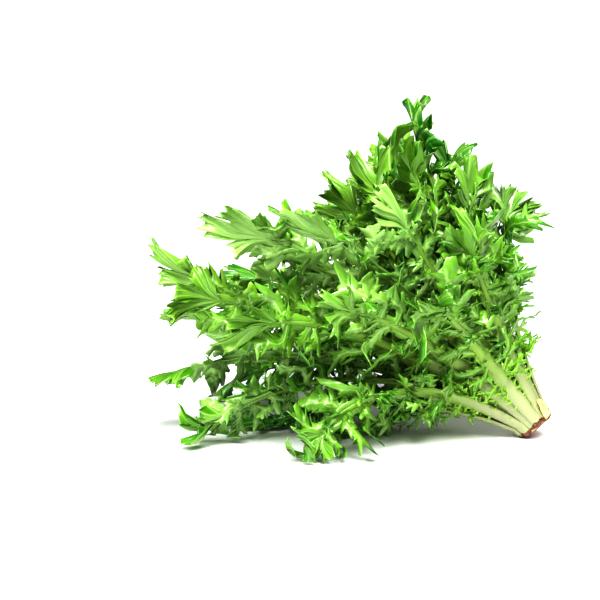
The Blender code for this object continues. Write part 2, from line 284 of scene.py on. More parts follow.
def rib_path(leaf):
    """The rib's line and its frame at PATH_STATIONS: the running sum of a direction that turns away
    from the head's axis, sags and is pressed up by the floor. Rows of point, side and inward normal."""
    s = PATH_STATIONS
    out_angle = leaf.spread * leaf.tuck * (
        SPREAD_AT_BUTT + (SPREAD_IN_FULL - SPREAD_AT_BUTT) * smooth(s / 0.5)
    ) + leaf.arch * np.clip(s - 0.35, 0.0, None) ** 1.5
    turn = leaf.turn + leaf.sway * s
    outward = round_the_axis(turn)
    heading = np.cos(out_angle)[:, None] * AXIS + np.sin(out_angle)[:, None] * outward
    heading = unit(heading + (leaf.sag * s**2)[:, None] * DOWN)
    step = leaf.length * (s[1] - s[0])
    foot_radius = (BUTT_RADIUS - RIB_THICKNESS * SEAT_INSET) * leaf.spread
    foot = SEAT_CENTRE + foot_radius * outward[0]
    points = foot + np.vstack([np.zeros(3), np.cumsum(heading[:-1] + heading[1:], axis=0) * step / 2])
    low = leaf.floor + rib_depth(leaf, s) + 0.3 * MM
    points[:, 2] = above_floor(points[:, 2], low, 2.0 * MM + 8.0 * MM * np.clip(s, 0.0, 1.0))
    along = unit(np.gradient(points, axis=0))
    inward = -outward
    inward = unit(inward - np.sum(inward * along, axis=1, keepdims=True) * along)
    side = np.cross(along, inward)
    angle = (leaf.twist * smooth(s))[:, None]
    turned_side = side * np.cos(angle) + inward * np.sin(angle)
    turned_inward = inward * np.cos(angle) - side * np.sin(angle)
    return points, turned_side, turned_inward


def rib_depth(leaf, s):
    """How far the rib stands out of the blade's back: less at the foot, where stalks are pressed flat."""
    free = RIB_THICKNESS * (0.45 + 0.55 * leaf.size) * (1.0 - 0.8 * np.clip(s, 0.0, 1.0) ** 0.8)
    radius = BUTT_RADIUS * leaf.spread + 0.45 * leaf.length * leaf.spread * np.clip(s, 0.0, 1.0)
    return at_most(free, STALK_FLATNESS * radius)


def lobe_bounds(leaf):
    """Where each lobe begins and ends along the rib, as shares of its length."""
    share = np.linspace(0.0, 1.0, leaf.lobes + 1) ** 0.84
    return leaf.lobe_start + (LOBE_END - leaf.lobe_start) * share


def blade_outline(leaf, s, phase, lobe, bundle_radius):
    """The blade's edge on both sides at each station s: its reach from the rib, the sweep of the line
    it lies on, and how far that line folds inward, round the bundle. phase is -1 to 1 across a lobe."""
    cut = np.interp(s, CUT_AT, CUT)
    swell = smooth((1.0 - np.abs(phase)) / 0.6) * (0.92 + 0.14 * phase)
    fullness = cut + (1.0 - cut) * swell
    reach = np.interp(s, REACH_AT, REACH) * leaf.size * fullness * leaf.lobe_length[:, lobe]
    reach = rib_half_width(leaf, s, bundle_radius) + reach * smooth((s - 0.06) / 0.1)
    around = np.arcsin(np.clip(0.5 * reach / bundle_radius, 0.0, 0.5))
    curl = (leaf.fold + leaf.lobe_curl[:, lobe]) * smooth((s - 0.1) / 0.35)
    return reach, np.interp(s, SWEEP_AT, SWEEP) + leaf.lobe_sweep[:, lobe], around + curl


def leaf_columns(leaf):
    """The stations along the rib, three to a lobe, with the lobe that each is in and the phase in it."""
    bounds = lobe_bounds(leaf)
    at = bounds[:-1, None] + np.diff(bounds)[:, None] * (LOBE_PHASES + 1.0) / 2.0
    bare = len(STALK_COLUMNS)
    s = np.concatenate([STALK_COLUMNS, at.ravel()])
    phase = np.concatenate([-np.ones(bare), np.tile(LOBE_PHASES, leaf.lobes)])
    lobe = np.concatenate([np.zeros(bare, int), np.repeat(np.arange(leaf.lobes), len(LOBE_PHASES))])
    return s, phase, lobe


def on_path(rows, leaf_share):
    """Rows of points or vectors of the rib, read at any shares of its length."""
    columns = [np.interp(leaf_share, PATH_STATIONS, rows[:, i]) for i in range(3)]
    return np.stack(columns, axis=-1)


def from_axis(points):
    """How far points are from the head's axis."""
    out = points - SEAT_CENTRE
    return np.linalg.norm(out - (out @ AXIS)[..., None] * AXIS, axis=-1)


def solid_box(leaf):
    """The lowest and highest corner of the leaf's solid, from its edge, rib and tip points."""
    s, phase, lobe = leaf_columns(leaf)
    path, side, inward = rib_path(leaf)
    middle = on_path(path, s)
    reach, sweep, fold = blade_outline(leaf, s, phase, lobe, from_axis(middle))
    hand = np.array([[-1.0], [1.0]])
    across = hand * reach * np.sin(sweep) * np.cos(fold)
    lift = reach * np.sin(sweep) * np.sin(fold)
    share = s + reach * np.cos(sweep) / leaf.length * smooth((s - 0.05) / 0.1)
    side_at, inward_at = on_path(side, share), on_path(inward, share)
    edge = on_path(path, share) + across[..., None] * side_at + lift[..., None] * inward_at
    normal = np.cos(fold)[..., None] * inward_at - (hand * np.sin(fold))[..., None] * side_at
    edge[..., 2] = above_floor(edge[..., 2], leaf.floor + BLADE_HALF_THICKNESS * 1.3, 2.0 * MM)
    rim = BLADE_HALF_THICKNESS * (1.0 + 0.6 * smooth(s / 0.08) * smooth((0.25 - s) / 0.12))[:, None]
    rib_normal = on_path(inward, s)
    front = np.stack([edge[0] + rim * normal[0], middle + BLADE_HALF_THICKNESS * rib_normal,
                      edge[1] + rim * normal[1]])
    back = np.stack([edge[0] - rim * normal[0], middle - rib_depth(leaf, s)[:, None] * rib_normal,
                     edge[1] - rim * normal[1]])
    for face in (front, back):
        height = (face[:, 0] - SEAT_CENTRE) @ AXIS
        face[:, 0] += (SEAT_GAP - height)[:, None] * AXIS
        face[..., 2] = np.maximum(face[..., 2], FLOOR_CLEARANCE)
    tip_share = 1.0 + TIP_REACH * leaf.size / leaf.length
    tip, tip_normal = on_path(path, tip_share), on_path(inward, tip_share)
    ends = np.stack([tip + BLADE_HALF_THICKNESS * tip_normal, tip - BLADE_HALF_THICKNESS * tip_normal])
    points = np.concatenate([front.reshape(-1, 3), back.reshape(-1, 3), ends])
    return points.min(axis=0), points.max(axis=0)


def leaf_tier(k):
    """Whether leaf k is an outer, a middle or a heart leaf."""
    return "outer" if k >= OUTER_FROM else "middle" if k >= MIDDLE_FROM else "heart"


def leaf_name(k):
    """The name of leaf k's node, numbered from the outside of the head."""
    return f"{leaf_tier(k)}_leaf_{LEAF_COUNT - k:02d}"


def leaf_as_packed(k):
    """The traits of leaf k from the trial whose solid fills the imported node's box."""
    low, high = (np.array(corner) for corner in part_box(leaf_name(k)))
    best = None
    for trial in range(TRIALS):
        leaf = leaf_traits(k, trial)
        box = solid_box(leaf)
        miss = max(np.abs(box[0] - low).max(), np.abs(box[1] - high).max())
        if best is None or miss < best[0]:
            best = (miss, leaf)
        if miss < BOX_TOLERANCE:
            break
    return best[1]


def teeth(x):
    """A row of even teeth, one to a unit of x: 0 in each gap, at whole numbers, and 1 at each tip."""
    return 1.0 - np.abs(2.0 * (x % 1.0) - 1.0)


def blend_weights(q, count, sharp=1.0):
    """How much each of count even parts weighs at each q from 0 to 1: hats over the parts' middles,
    raised to a power that makes the change between two parts sharper."""
    at = np.clip(q * count - 0.5, 0.0, count - 1.0)
    hats = np.clip(1.0 - np.abs(at[:, None] - np.arange(count)), 0.0, 1.0) ** sharp
    return hats / hats.sum(axis=1, keepdims=True)


def closed_sheets(points, normals, half, marks, turned):
    """Sheets given thickness along their normals: each a front, a back with the same quads turned over,
    and a rim of quads round all four edges. Marks are numbers for each point, for the material."""
    sheets, rows, columns = points.shape[:3]
    index = np.arange(rows * columns).reshape(rows, columns)
    corners = index[:-1, :-1], index[1:, :-1], index[1:, 1:], index[:-1, 1:]
    quads = np.stack(corners, axis=-1).reshape(-1, 4)
    border = np.concatenate([index[0, :-1], index[:-1, -1], index[-1, :0:-1], index[:0:-1, 0]])
    ahead = np.roll(border, -1)
    count = rows * columns
    rim = np.stack([border, ahead, ahead + count, border + count], axis=-1)
    quads = np.concatenate([quads, quads[:, ::-1] + count, rim])
    flat = np.arange(len(quads)) >= len(quads) - len(rim)
    quads = np.where(turned[:, None, None], quads[:, ::-1], quads)
    quads = quads + 2 * count * np.arange(sheets)[:, None, None]
    shape = (sheets, 2, rows, columns)
    marks = {name: values[:, None] if np.ndim(values) == 3 else values for name, values in marks.items()}
    marks["back"] = np.array([0.0, 1.0])[:, None, None]
    marks = {name: np.broadcast_to(values, shape).ravel() for name, values in marks.items()}
    both = np.stack([points + half * normals, points - half * normals], axis=1)
    return SimpleNamespace(
        points=both.reshape(-1, 3),
        quads=quads.reshape(-1, 4),
        flat=np.tile(flat, sheets),
        marks=marks,
    )


def closed_tube(points, marks):
    """A tube through rings of points, closed at both ends by a strip of quads across the ring."""
    rings, count = points.shape[:2]
    index = np.arange(rings * count).reshape(rings, count)
    after = np.roll(index, -1, axis=1)
    wall = np.stack([index[:-1], index[1:], after[1:], after[:-1]], axis=-1).reshape(-1, 4)
    j = np.arange(count // 2 - 1)
    cap = np.stack([j, j + 1, count - 2 - j, count - 1 - j], axis=-1)
    quads = np.concatenate([wall, cap, cap[:, ::-1] + (rings - 1) * count])
    return SimpleNamespace(
        points=points.reshape(-1, 3),
        quads=quads,
        flat=np.arange(len(quads)) >= len(wall),
        marks={name: np.broadcast_to(values, (rings, count)).ravel() for name, values in marks.items()},
    )


def in_scene(name, data):
    """An object that holds this mesh, light or camera, put into the scene."""
    thing = bpy.data.objects.new(name, data)
    bpy.context.scene.collection.objects.link(thing)
    return thing


def make_piece(name, parts, material):
    """One mesh object from closed parts, with their marks as point attributes."""
    starts = np.cumsum([0] + [len(part.points) for part in parts])
    points = np.concatenate([part.points for part in parts])
    quads = np.concatenate([part.quads + start for part, start in zip(parts, starts)])
    mesh = bpy.data.meshes.new(name)
    mesh.vertices.add(len(points))
    mesh.vertices.foreach_set("co", points.ravel())
    mesh.loops.add(quads.size)
    mesh.loops.foreach_set("vertex_index", quads.ravel())
    mesh.polygons.add(len(quads))
    mesh.polygons.foreach_set("loop_start", np.arange(len(quads)) * 4)
    mesh.polygons.foreach_set("use_smooth", ~np.concatenate([part.flat for part in parts]))
    for mark in parts[0].marks:
        values = np.concatenate([part.marks[mark] for part in parts])
        mesh.attributes.new(mark, "FLOAT", "POINT").data.foreach_set("value", values.astype(np.float32))
    mesh.update(calc_edges=True)
    mesh.validate()
    mesh.materials.append(material)
    return in_scene(name, mesh)


def summed(rate):
    """The running sum of a rate along its second axis, from 0, in equal steps that add to 1."""
    steps = rate.shape[1] - 1
    up = np.cumsum((rate[:, :-1] + rate[:, 1:]) / (2.0 * steps), axis=1)
    return np.concatenate([np.zeros((len(rate), 1)), up], axis=1)


def line_heading(sweep, curl):
    """Where a line with this sweep from the rib and this curl runs: ahead, out and off the blade."""
    return np.cos(sweep) * np.cos(curl), np.sin(sweep) * np.cos(curl), np.sin(curl)


def line_normal(sweep, curl):
    """The blade's normal on such a line: the heading turned off the blade by a right angle."""
    return -np.sin(curl) * np.cos(sweep), -np.sin(curl) * np.sin(sweep), np.cos(curl)


def bent_line(lines, t, late=1.6):
    """Lines that start at their sweep from the rib, bend forward, sway to and fro, and curl out of the
    blade's plane more and more: their heading is added up along t. Each row gives the distance ahead
    along the rib, out from it and off the blade's plane, with the line's sweep and curl there."""
    sweep = lines.sweep[:, None] + lines.bend[:, None] * (0.5 - t)
    sweep = sweep + lines.sway[:, None] * np.sin(lines.phase[:, None] + 7.0 * t)
    curl = lines.curl[:, None] * t**late
    ahead, out, off = (lines.reach[:, None] * summed(rate) for rate in line_heading(sweep, curl))
    return ahead, out, off, sweep, curl


def on_leaf(leaf, rib, lines, ahead, out, off):
    """Points of the blade laid on the rib's own curve: ahead along it, and out and off turned by the
    line's fold round the bundle. Also a function that turns such a vector the same way."""
    path, side, inward = rib
    shape = (-1,) + (1,) * (ahead.ndim - 1)
    fold, hand, start = (v.reshape(shape) for v in (lines.fold, lines.hand, lines.start))
    share = np.clip(lines.share.reshape(shape) + ahead / leaf.length, 0.0, PATH_STATIONS[-1])
    side_at, inward_at = on_path(side, share), on_path(inward, share)
    along_at = np.cross(inward_at, side_at)

    def turned(ahead, out, off):
        across = hand * (out * np.cos(fold) - off * np.sin(fold))
        lift = out * np.sin(fold) + off * np.cos(fold)
        return ahead[..., None] * along_at + across[..., None] * side_at + lift[..., None] * inward_at

    points = on_path(path, share) + turned(0.0 * ahead, out, off) + (hand * start)[..., None] * side_at
    points[..., 2] = above_floor(points[..., 2], leaf.floor + LOWEST, 2.0 * MM)
    return points, share, turned


def spread_lines(count, **values):
    """A group of this many lines, from values that are one number for all or one for each."""
    return SimpleNamespace(**{key: np.broadcast_to(value, count) for key, value in values.items()})


def stack_lines(groups):
    """Groups of lines put one after another, as one set of rows."""
    rows = {key: [getattr(group, key) for group in groups] for key in vars(groups[0])}
    return SimpleNamespace(**{key: np.concatenate(values) for key, values in rows.items()})


def solid_lobes(leaf, rib, which):
    """The solid's lobes of these numbers: where they begin and end along the rib, their middles, and
    the blade's reach, sweep and fold there."""
    bounds = lobe_bounds(leaf)[which[0]:which[-1] + 2]
    centre = (bounds[:-1] + bounds[1:]) / 2.0
    radius = from_axis(on_path(rib[0], centre))
    return bounds, centre, blade_outline(leaf, centre, 0.0 * centre, which, radius)


def half_rib(leaf, rib, s):
    """Half the rib's width at each station s of its path."""
    return rib_half_width(leaf, s, from_axis(on_path(rib[0], s)))


def spurs(x):
    """A row of blunt teeth: each rises along a curve to its end, and drops faster than it rose."""
    f = x % 1.0
    return smooth(f / 0.55) * (1.0 - smooth((f - 0.62) / 0.38))


def lay_straps(leaf, rib, straps, teeth_count):
    """Narrow lobes like antlers. A lobe's middle is a bent line. Its half width flares at the root, and
    tapers to a point or widens to a blunt end, with blunt spurs that lean forward and stand out by
    turns on its two sides. It is laid across the line, twisted along it and cupped, and then laid on
    the leaf."""
    t = np.linspace(0.0, 1.0, teeth_count * STEPS_PER_TOOTH + 1)
    v = np.array([-1.0, 0.0, 1.0])
    ahead, out, off, sweep, curl = bent_line(straps, t)
    off = off + straps.wave[:, None] * t * np.sin(straps.phase[:, None] + 8.0 * t)
    root = 1.3 * np.exp(-t / 0.07)
    pointed = (0.8 + 0.4 * np.sin(math.pi * t) + root) * (1.0 - 0.94 * smooth((t - 0.7) / 0.3))
    blunt = (0.7 + 0.7 * smooth((t - 0.15) / 0.6) + root) * (1.0 - 0.9 * smooth((t - 0.86) / 0.14))
    body = pointed + straps.blunt[:, None] * (blunt - pointed)
    weights = blend_weights(t, teeth_count)
    fade = smooth(t / 0.12) * (1.0 - smooth((t - 0.95) / 0.05)) * (1.0 + 0.9 * straps.blunt[:, None] * t)

    def half_widths(row, later):
        heights = straps.spurs[:, row] @ weights.T
        return (straps.width[:, None] * body + heights * spurs(t * teeth_count + later) * fade)[..., None]

    half = np.where(v < 0.0, half_widths(0, 0.0), half_widths(1, 0.4))
    offset = v * half
    lean = SPUR_LEAN * np.abs(v) * (half - straps.width[:, None, None] * body[..., None])
    twist = (straps.twist[:, None] * t)[..., None]
    sweep, curl = sweep[..., None], curl[..., None]
    tangent, normal = line_heading(sweep, curl), line_normal(sweep, curl)
    breadth = np.sin(sweep), -np.cos(sweep), 0.0
    over = [np.cos(twist) * b + np.sin(twist) * n for b, n in zip(breadth, normal)]
    up = [np.cos(twist) * n - np.sin(twist) * b for b, n in zip(breadth, normal)]
    bowl = straps.cup[:, None, None] / (straps.width[:, None, None] + 2.0 * MM)
    cup = bowl * offset**2
    middle = [part[..., None] for part in (ahead, out, off)]
    place = [m + lean * a + offset * b + cup * n for m, a, b, n in zip(middle, tangent, over, up)]
    points, share, turned = on_leaf(leaf, rib, straps, *place)
    slope = 2.0 * bowl * offset
    normals = unit(turned(*[n - slope * b + 0.0 * offset for b, n in zip(over, up)]))
    marks = {"along": share, "edge": t[:, None], "vein": 1.0 - np.abs(v), "stalk": 0.0, "ridge": 0.05 * v}
    return closed_sheets(points, normals, SHEET_HALF, marks, straps.hand < 0)


def side_lobes(leaf, hand, rib, draw):
    """The lobes on one side: the solid's own, and between them small ones that stand off the blade. The
    lower they sit, the narrower they are, and the further they reach past the solid's."""
    lobes = leaf.lobes - FAN_LOBES
    bounds, centre, outline = solid_lobes(leaf, rib, np.arange(lobes))
    row = 0 if hand < 0 else 1
    reach, sweep, fold = (values[row] for values in outline)
    start = 0.5 * half_rib(leaf, rib, centre)
    pitch = np.diff(bounds)
    swap = draw.choice([-1.0, 1.0])

    def group(kind, share, reach, sweep, fold):
        width = (LOW_LOBE_WIDTH + LOBE_WIDENING * share**2.3) * leaf.size**0.5 * kind.width
        width = width * draw.uniform(*LOBE_WIDTH_RANGE, lobes)
        tall = SPUR_HEIGHT * np.sqrt(reach / COMMON_REACH)
        return SimpleNamespace(
            share=share,
            hand=np.full(lobes, hand),
            start=start,
            reach=reach,
            sweep=sweep,
            bend=np.radians(draw.uniform(*LOBE_BEND_RANGE, lobes)),
            fold=fold,
            curl=np.radians(draw.uniform(*kind.curl, lobes)),
            twist=np.radians(draw.uniform(-kind.twist, kind.twist, lobes)),
            width=width,
            cup=draw.uniform(*LOBE_CUP_RANGE, lobes),
            wave=draw.uniform(*LOBE_WAVE_RANGE, lobes),
            phase=draw.uniform(*ANY_PHASE, lobes),
            sway=draw.uniform(*LOBE_SWAY_RANGE, lobes),
            spurs=tall[:, None, None] * draw.uniform(*SPUR_RANGE, (lobes, 2, LOBE_TEETH)) ** 1.6,
            blunt=kind.blunt * smooth((share - 0.42) / 0.3),
        )

    reach = reach * (1.0 + LOW_LOBES_LONGER * (1.0 - smooth((centre - 0.35) / 0.3)))
    by_turns = np.where(np.arange(lobes) % 2, 1.0, -1.0)
    groups = [group(
        OWN_LOBES,
        centre + pitch * draw.uniform(-0.16, 0.16, lobes),
        reach * draw.uniform(0.9, 1.05, lobes),
        sweep,
        fold + LOBE_TILT * swap * by_turns,
    )]
    for place, off_blade in ((0.0, 1.0), (0.35, -1.0)):
        groups.append(group(
            SMALL_LOBES,
            bounds[:-1] + pitch * (place + draw.uniform(-0.12, 0.12, lobes)),
            reach * draw.uniform(0.4, 0.95, lobes),
            sweep + np.radians(draw.uniform(-25.0, 20.0, lobes)),
            fold + off_blade * np.radians(draw.uniform(15.0, 80.0, lobes)),
        ))
    return stack_lines(groups)


def side_threads(leaf, hand, rib, count, draw):
    """Short threads up the side of the stalk, longer the higher they sit."""
    share = np.linspace(0.05, leaf.lobe_start + 0.12, count) + draw.uniform(-0.008, 0.008, count)
    near = half_rib(leaf, rib, share)
    reach = (THREAD_REACH + THREAD_LENGTHENING * smooth((share - 0.04) / 0.3)) * leaf.size**0.5
    reach = reach * (0.4 + 1.5 * draw.uniform(0.0, 1.0, count) ** 3)
    angles = {name: np.radians(draw.uniform(*ends, count)) for name, ends in THREAD_ANGLES.items()}
    return SimpleNamespace(
        share=share,
        hand=np.full(count, hand),
        start=0.75 * near,
        reach=reach + 0.3 * near,
        **angles,
        width=draw.uniform(*THREAD_WIDTH_RANGE, count),
        cup=np.zeros(count),
        wave=np.zeros(count),
        phase=draw.uniform(*ANY_PHASE, count),
        sway=draw.uniform(0.1, 0.6, count),
        spurs=0.13 * reach[:, None, None] * draw.uniform(0.0, 1.6, (count, 2, THREAD_TEETH)),
        blunt=np.zeros(count),
    )


def wing_sheet(leaf, hand, rib, spur_count, draw):
    """The narrow wing of blade down one side of the rib, wider up the leaf, with small spurs."""
    bounds, centre, outline = solid_lobes(leaf, rib, np.arange(leaf.lobes - FAN_LOBES))
    fold = outline[2][0 if hand < 0 else 1]
    s = np.linspace(0.04, bounds[-1], spur_count * STEPS_PER_TOOTH + 1)
    near = half_rib(leaf, rib, s)
    up = np.linspace(0.0, 1.0, len(s))
    heights = blend_weights(up, spur_count) @ draw.uniform(*WING_SPUR_RANGE, spur_count)
    wide = np.interp(s, WING_AT, WING) * leaf.size**0.5 + heights * spurs(up * spur_count)
    lines = spread_lines(
        len(s),
        share=s,
        hand=float(hand),
        start=0.6 * near,
        fold=np.interp(s, centre, fold) * smooth((s - 0.1) / 0.2),
    )
    t = np.linspace(0.0, 1.0, 3)
    past_rib = (wide * smooth((s - 0.03) / 0.08))[:, None] * t
    out = 0.4 * near[:, None] * t + past_rib
    points, share, turned = on_leaf(leaf, rib, lines, 0.6 * past_rib, out, 0.0 * out)
    normals = turned(0.0 * out, 0.0 * out, 1.0 + 0.0 * out)
    marks = {"along": share[None], "edge": 0.25 * t, "vein": 0.0, "stalk": 0.0, "ridge": 0.0}
    return closed_sheets(points[None], normals[None], SHEET_HALF, marks, np.array([hand > 0]))


def fan_sheet(leaf, rib, detail, draw):
    """The fan at the tip: lines that spread from the rib's end. Its end is cut into broad blunt fingers
    with small teeth, and each finger reaches as far as the solid does at that finger's middle. It
    curls over at its end, and ruffles towards its edge."""
    last = np.arange(leaf.lobes - FAN_LOBES, leaf.lobes)
    bounds, centre, (reach, sweep, fold) = solid_lobes(leaf, rib, last)
    root = bounds[0] - 0.02
    ahead = (centre - root) * leaf.length + reach * np.cos(sweep)
    out = reach * np.sin(sweep)
    tip = (1.0 - root) * leaf.length + TIP_REACH * leaf.size

    all_teeth = FAN_FINGERS * FAN_TEETH
    q = np.linspace(0.0, 1.0, all_teeth * detail.fan_cut + 1)
    u = 2.0 * q - 1.0
    angle = np.abs(u) * FAN_END_ANGLE
    span, folds = np.zeros(len(q)), np.zeros(len(q))
    for row, mine in enumerate((u <= 0.0, u > 0.0)):
        angles = np.arctan2(out[row], ahead[row])[::-1]
        radii = np.hypot(out[row], ahead[row])[::-1]
        stops = np.concatenate([[0.0], angles, [FAN_END_ANGLE * 1.05]])
        span[mine] = np.interp(angle[mine], stops, [tip, *radii, 0.5 * radii[-1]])
        folds[mine] = np.interp(angle[mine], stops, [0.0, *fold[row][::-1], fold[row][0]])
    weights = blend_weights(q, FAN_FINGERS, 3.0)
    finger = teeth(q * FAN_FINGERS)
    tooth = teeth(q * all_teeth)
    middles = (np.arange(FAN_FINGERS) + 0.5) / FAN_FINGERS
    span = weights @ np.interp(middles, q, span)
    lengths = weights @ draw.uniform(*FINGER_LENGTH_RANGE, FAN_FINGERS)
    gap = draw.uniform(*FINGER_GAP_RANGE) - 0.1 * np.abs(u)
    fullness = gap + (lengths - gap) * smooth((finger - 0.08) / 0.2)
    notch = FAN_TOOTH_DEPTH * blend_weights(q, all_teeth) @ draw.uniform(*FAN_TOOTH_RANGE, all_teeth)
    fullness = fullness * (1.0 - notch * (1.0 - tooth**1.4) * smooth((finger - 0.1) / 0.2))
    lines = spread_lines(
        len(q),
        share=root + 0.012 * (1.0 - np.abs(u)),
        hand=np.where(u < 0.0, -1.0, 1.0),
        start=0.0,
        reach=span * fullness,
        sweep=angle,
        bend=-0.25 * np.sin(angle),
        fold=folds,
        curl=weights @ np.radians(draw.uniform(*FINGER_CURL_RANGE, FAN_FINGERS)),
        sway=weights @ draw.uniform(*FINGER_SWAY_RANGE, FAN_FINGERS),
        phase=0.0,
    )
    t = np.linspace(0.0, 1.0, detail.fan_across + 1)
    ahead, out, off, sweep, curl = bent_line(lines, t, 2.4)
    lift = (weights @ draw.uniform(*FINGER_LIFT_RANGE, FAN_FINGERS)) * span
    phase = draw.uniform(*ANY_PHASE) + 14.0 * u
    wave = RUFFLE * leaf.size * smooth(np.abs(u) / 0.1) * np.sin(phase)
    ridges = VEIN_RIDGE * np.cos(2.0 * math.pi * all_teeth * q)
    frill = FRILL * np.sin(3.1 * phase[:, None] + 4.0 * t) * t**3
    off = off + (wave + lift)[:, None] * t**2 + ridges[:, None] * t + frill
    points, share, turned = on_leaf(leaf, rib, lines, ahead, out, off)
    normals = unit(turned(*line_normal(sweep, curl)))
    marks = {
        "along": share[None],
        "edge": t,
        "vein": np.maximum(smooth((finger - 0.6) / 0.4), smooth((tooth - 0.4) / 0.6))[:, None],
        "stalk": 0.0,
        "ridge": 0.8 * q[:, None],
    }
    return closed_sheets(points[None], normals[None], SHEET_HALF, marks, np.array([False]))


def stalk_tube(leaf, rib, detail):
    """The stalk and rib as one tube. A ring is an ellipse, deep at the back and shallow at the front,
    where a groove runs up its middle. Its edges bend in round the bundle. Below the seat it runs on
    down the butt to the cut, drawing in towards the axis."""
    path, side, inward = rib
    s = np.linspace(0.0, 1.0, detail.rib) ** 1.15 * STALK_END
    points, side_at, inward_at = on_path(path, s), on_path(side, s), on_path(inward, s)
    radius = from_axis(points)
    wide = rib_half_width(leaf, s, radius) * (1.0 + (STALK_WIDENING - 1.0) * smooth((0.7 - s) / 0.5))
    deep = rib_depth(leaf, s) + 0.2 * MM
    taper = 1.0 - 0.8 * smooth((s - 0.78) / 0.17)
    wide, deep = wide * taper, deep * taper
    below = np.linspace(1.0, 0.0, FOOT_RINGS)[:-1]
    drop = BUTT_LENGTH - (0.4 + 1.4 * (0.618 * leaf.turn % 1.0)) * MM
    draw_in = 2.2 * MM * leaf.spread * below**2
    foot = points[0] - AXIS * (drop * below)[:, None] + inward_at[0] * draw_in[:, None]
    points = np.concatenate([foot, points])
    side_at, inward_at, radius = (
        np.concatenate([np.repeat(rows[:1], len(below), axis=0), rows])
        for rows in (side_at, inward_at, radius)
    )
    wide = np.concatenate([wide[0] * (1.0 - 0.12 * below), wide])
    deep = np.concatenate([deep[0] * (1.0 - 0.3 * below), deep])
    s = np.concatenate([-0.05 * below, s])

    phi = (np.arange(detail.round) + 0.5) * 2.0 * math.pi / detail.round
    x = wide[:, None] * np.sign(np.cos(phi)) * np.abs(np.cos(phi)) ** 0.85
    back = np.minimum(np.sin(phi), 0.0) * deep[:, None]
    grooved = GROOVE * smooth(s / 0.1) * smooth((0.8 - s) / 0.3)
    hollow = grooved[:, None] * np.exp(-((x / (0.5 * wide[:, None])) ** 2))
    front = np.maximum(np.sin(phi), 0.0) * deep[:, None] * (0.55 - hollow)
    wrap = x**2 / (2.0 * np.maximum(radius, 8.0 * MM)[:, None]) * smooth((0.5 - s) / 0.3)[:, None]
    z = back + front + wrap
    rings = points[:, None] + x[..., None] * side_at[:, None] + z[..., None] * inward_at[:, None]
    rings[..., 2] = np.maximum(rings[..., 2], LOWEST / 2.0)
    marks = {
        "along": s[:, None],
        "edge": 0.0,
        "vein": np.abs(np.cos(phi)),
        "stalk": 1.0,
        "ridge": phi / (2.0 * math.pi),
        "back": (np.sin(phi) < 0.0).astype(float),
    }
    return closed_tube(rings, marks)


def fine_leaf(k, material):
    """Leaf k as it grows: its stalk, the blade on both sides and the fan at its tip."""
    leaf = leaf_as_packed(k)
    name = leaf_name(k)
    detail = DETAIL[leaf_tier(k)]
    draw = np.random.default_rng([SEED, k, 1000])
    rib = rib_path(leaf)
    parts = [stalk_tube(leaf, rib, detail), fan_sheet(leaf, rib, detail, draw)]
    for hand in (-1.0, 1.0):
        lobes = side_lobes(leaf, hand, rib, draw)
        threads = side_threads(leaf, hand, rib, detail.threads, draw)
        parts.append(lay_straps(leaf, rib, lobes, LOBE_TEETH))
        parts.append(lay_straps(leaf, rib, threads, THREAD_TEETH))
        parts.append(wing_sheet(leaf, hand, rib, detail.wing, draw))
    tint = draw.uniform(0.0, 1.0)
    for part in parts:
        part.marks["tint"] = np.full(len(part.points), tint)
    piece = make_piece(f"{name}_fine", parts, material)
    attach(piece, "root")
    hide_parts(name)
    return piece


def butt_form():
    """The stub of stem: rings round the axis from the middle of the cut out to its ragged rim, then up
    the side to the seat. The cut is sunk and rough, and the side widens a little as it rises."""
    turn = np.arange(BUTT_SIDES) * 2.0 * math.pi / BUTT_SIDES
    draw = np.random.default_rng([SEED, 777])
    waves = (2, 3, 5, 8, 13, 21)
    rough = sum(draw.uniform(0.4, 1.0) / n * np.cos(n * turn + draw.uniform(*ANY_PHASE)) for n in waves)
    inner = np.linspace(0.02, 1.0, BUTT_RINGS)
    cut_rise = CUT_SINK * (1.0 - inner**4) + CUT_ROUGHNESS * np.sin(inner * 40.0)
    heights = np.linspace(0.0, 1.0, BUTT_RINGS)[1:]
    radii = np.concatenate([inner, 1.0 + 0.05 * heights]) * CORE_RADIUS
    rise = np.concatenate([cut_rise, heights * BUTT_LENGTH])
    edge = np.concatenate([inner**3, 1.0 - smooth(heights / 0.4)])
    r = radii[:, None] * (1.0 + 0.035 * rough * edge[:, None])
    h = rise[:, None] + RIM_RAGGEDNESS * rough * edge[:, None]
    points = CUT_CENTRE + h[..., None] * AXIS + r[..., None] * round_the_axis(turn)
    points[..., 2] = np.maximum(points[..., 2], 0.0)
    on_cut = np.concatenate([np.ones(len(inner)), 1.0 - smooth(heights / 0.22)])
    marks = {
        "cut": on_cut[:, None],
        "across": np.concatenate([inner, np.ones(len(heights))])[:, None],
        "up": np.concatenate([np.zeros(len(inner)), heights])[:, None],
        "dried": 0.0,
    }
    return closed_tube(points, marks)


